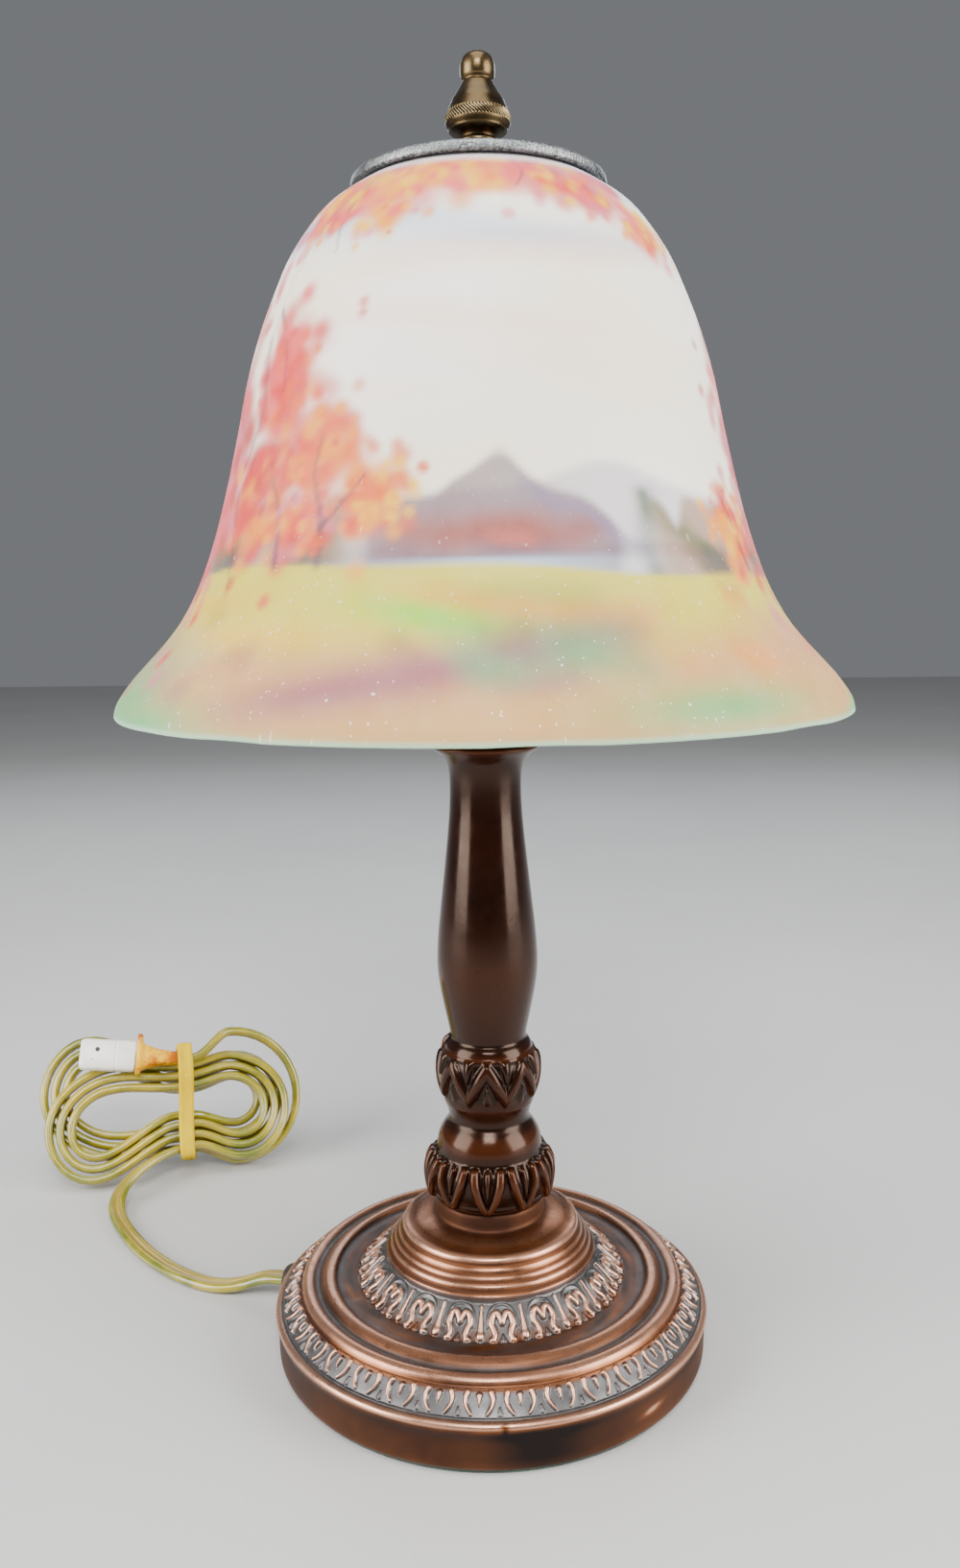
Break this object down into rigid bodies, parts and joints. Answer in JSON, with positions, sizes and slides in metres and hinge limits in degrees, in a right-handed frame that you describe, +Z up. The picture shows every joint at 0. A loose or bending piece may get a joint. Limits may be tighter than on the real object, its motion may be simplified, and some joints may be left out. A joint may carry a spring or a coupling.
{
  "type": "table lamp",
  "caption": "Table lamp with a bell-shaped painted glass shade on a harp, turned column on a round cast base, socket with key, finial and a cord folded into a hank.",
  "frame": {"origin": "centre of the base on the surface that it stands on", "axes": "+Z up along the column, +X to the right and -Y towards whoever faces the lamp"},
  "size_m": [0.2817, 0.2445, 0.3691],
  "materials": {
    "copper": "cast metal plated antique copper, satin, dark patina in the grooves",
    "lacquer": "glossy dark red-brown lacquer over a cast column",
    "brass": "polished brass, slightly tarnished",
    "aged_brass": "antique brass, glossy on its high places",
    "pewter": "antique pewter, hammered edge",
    "steel": "plain zinc plated steel",
    "iron": "raw cast iron",
    "felt": "dense dark green felt",
    "card": "fibre card insulator",
    "phenolic": "dark moulded phenolic",
    "bulb_glass": "frosted bulb glass",
    "painted_glass": "frosted glass painted on its inside",
    "clear_rubber": "translucent soft gasket",
    "cord": "translucent gold flat two-conductor cord",
    "amber": "translucent amber plug body",
    "white_plastic": "white moulded blade cover",
    "yellow_band": "yellow tie band"
  },
  "bodies": {
    "root": {"felt_pad": "felt", "base_shell": "copper", "base_weight": "iron", "lock_washer": "steel", "pipe_nut": "steel", "cord_bushing": "phenolic", "lamp_pipe": "steel", "column": "lacquer", "column_cup": "brass", "harp_saddle": "brass", "harp_bow": "brass", "harp_stud": "brass", "socket_cap": "brass", "socket_shell": "brass", "socket_liner": "card", "socket_block": "phenolic", "screw_shell": "brass", "centre_contact": "brass", "cord_hank": "cord", "cord_run": "cord", "inner_lead": "cord", "hank_band": "yellow_band", "plug_body": "amber", "plug_cover": "white_plastic", "plug_blade_upper": "steel", "plug_blade_lower": "steel"},
    "shade": {"shade_seat": "brass", "shade_glass": "painted_glass", "cap_gasket": "clear_rubber", "shade_cap": "pewter"},
    "finial": {"finial": "aged_brass"},
    "bulb": {"bulb_globe": "bulb_glass", "bulb_cap": "steel", "bulb_contact": "steel"},
    "socket_key": {"socket_key": "phenolic"},
    "left_ferrule": {"harp_ferrule_left": "brass"},
    "right_ferrule": {"harp_ferrule_right": "brass"}
  },
  "joints": [
    {"name": "shade_turn", "type": "hinge", "parent": "root", "child": "shade", "pos_m": [0, 0, 0.3366], "axis": [0, 0, 1], "continuous": true},
    {"name": "finial_turn", "type": "hinge", "parent": "root", "child": "finial", "pos_m": [0, 0, 0.3449], "axis": [0, 0, 1], "continuous": true},
    {"name": "bulb_turn", "type": "hinge", "parent": "root", "child": "bulb", "pos_m": [0, 0, 0.2166], "axis": [0, 0, 1], "continuous": true},
    {"name": "key_turn", "type": "hinge", "parent": "root", "child": "socket_key", "pos_m": [0, 0.0168, 0.2121], "axis": [0, 1, 0], "continuous": true},
    {"name": "left_ferrule_lift", "type": "slide", "parent": "root", "child": "left_ferrule", "axis": [0, 0, 1], "range_m": [0, 0.008]},
    {"name": "right_ferrule_lift", "type": "slide", "parent": "root", "child": "right_ferrule", "axis": [0, 0, 1], "range_m": [0, 0.008]}
  ]
}
